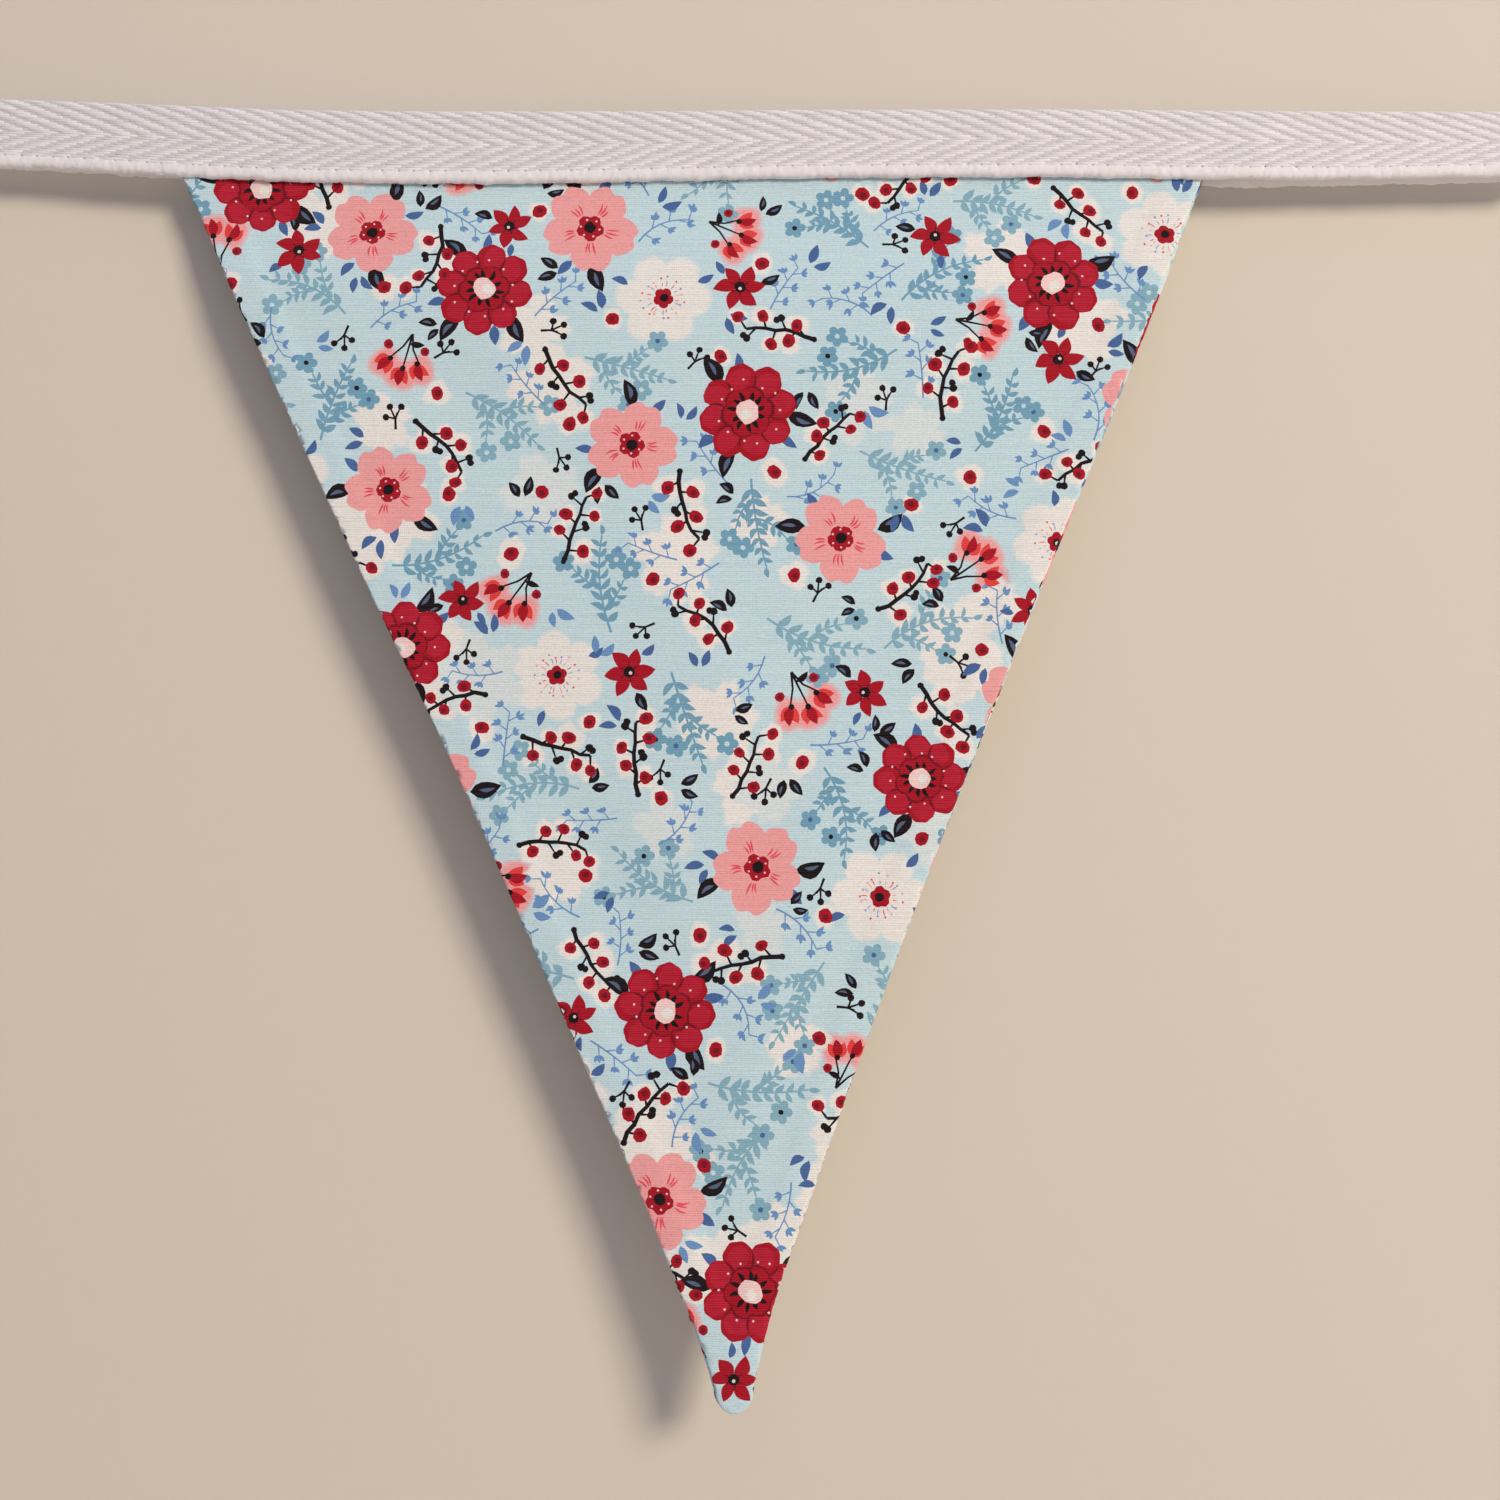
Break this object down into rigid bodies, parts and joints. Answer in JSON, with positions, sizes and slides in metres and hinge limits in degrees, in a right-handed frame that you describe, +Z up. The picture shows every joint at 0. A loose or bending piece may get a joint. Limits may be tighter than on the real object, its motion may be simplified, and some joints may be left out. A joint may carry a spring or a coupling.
{
  "type": "fabric bunting pennant on folded tape",
  "caption": "Double-sided triangular cotton pennant with a blunt turned tip, hung from a folded white herringbone tape that runs on past both sides.",
  "frame": {"origin": "on the tape's top edge, above the middle of the pennant", "axes": "+X along the tape to the viewer's right, +Y into the wall behind the pennant, +Z up"},
  "size_m": [0.292, 0.0122, 0.2217],
  "materials": {
    "printed_cotton": "matt plain-weave cotton with a floral print on a pale blue ground",
    "white_tape": "matt white cotton in a herringbone twill"
  },
  "bodies": {
    "root": {"pennant_front": "printed_cotton", "pennant_back": "printed_cotton", "tape": "white_tape"}
  },
  "joints": []
}
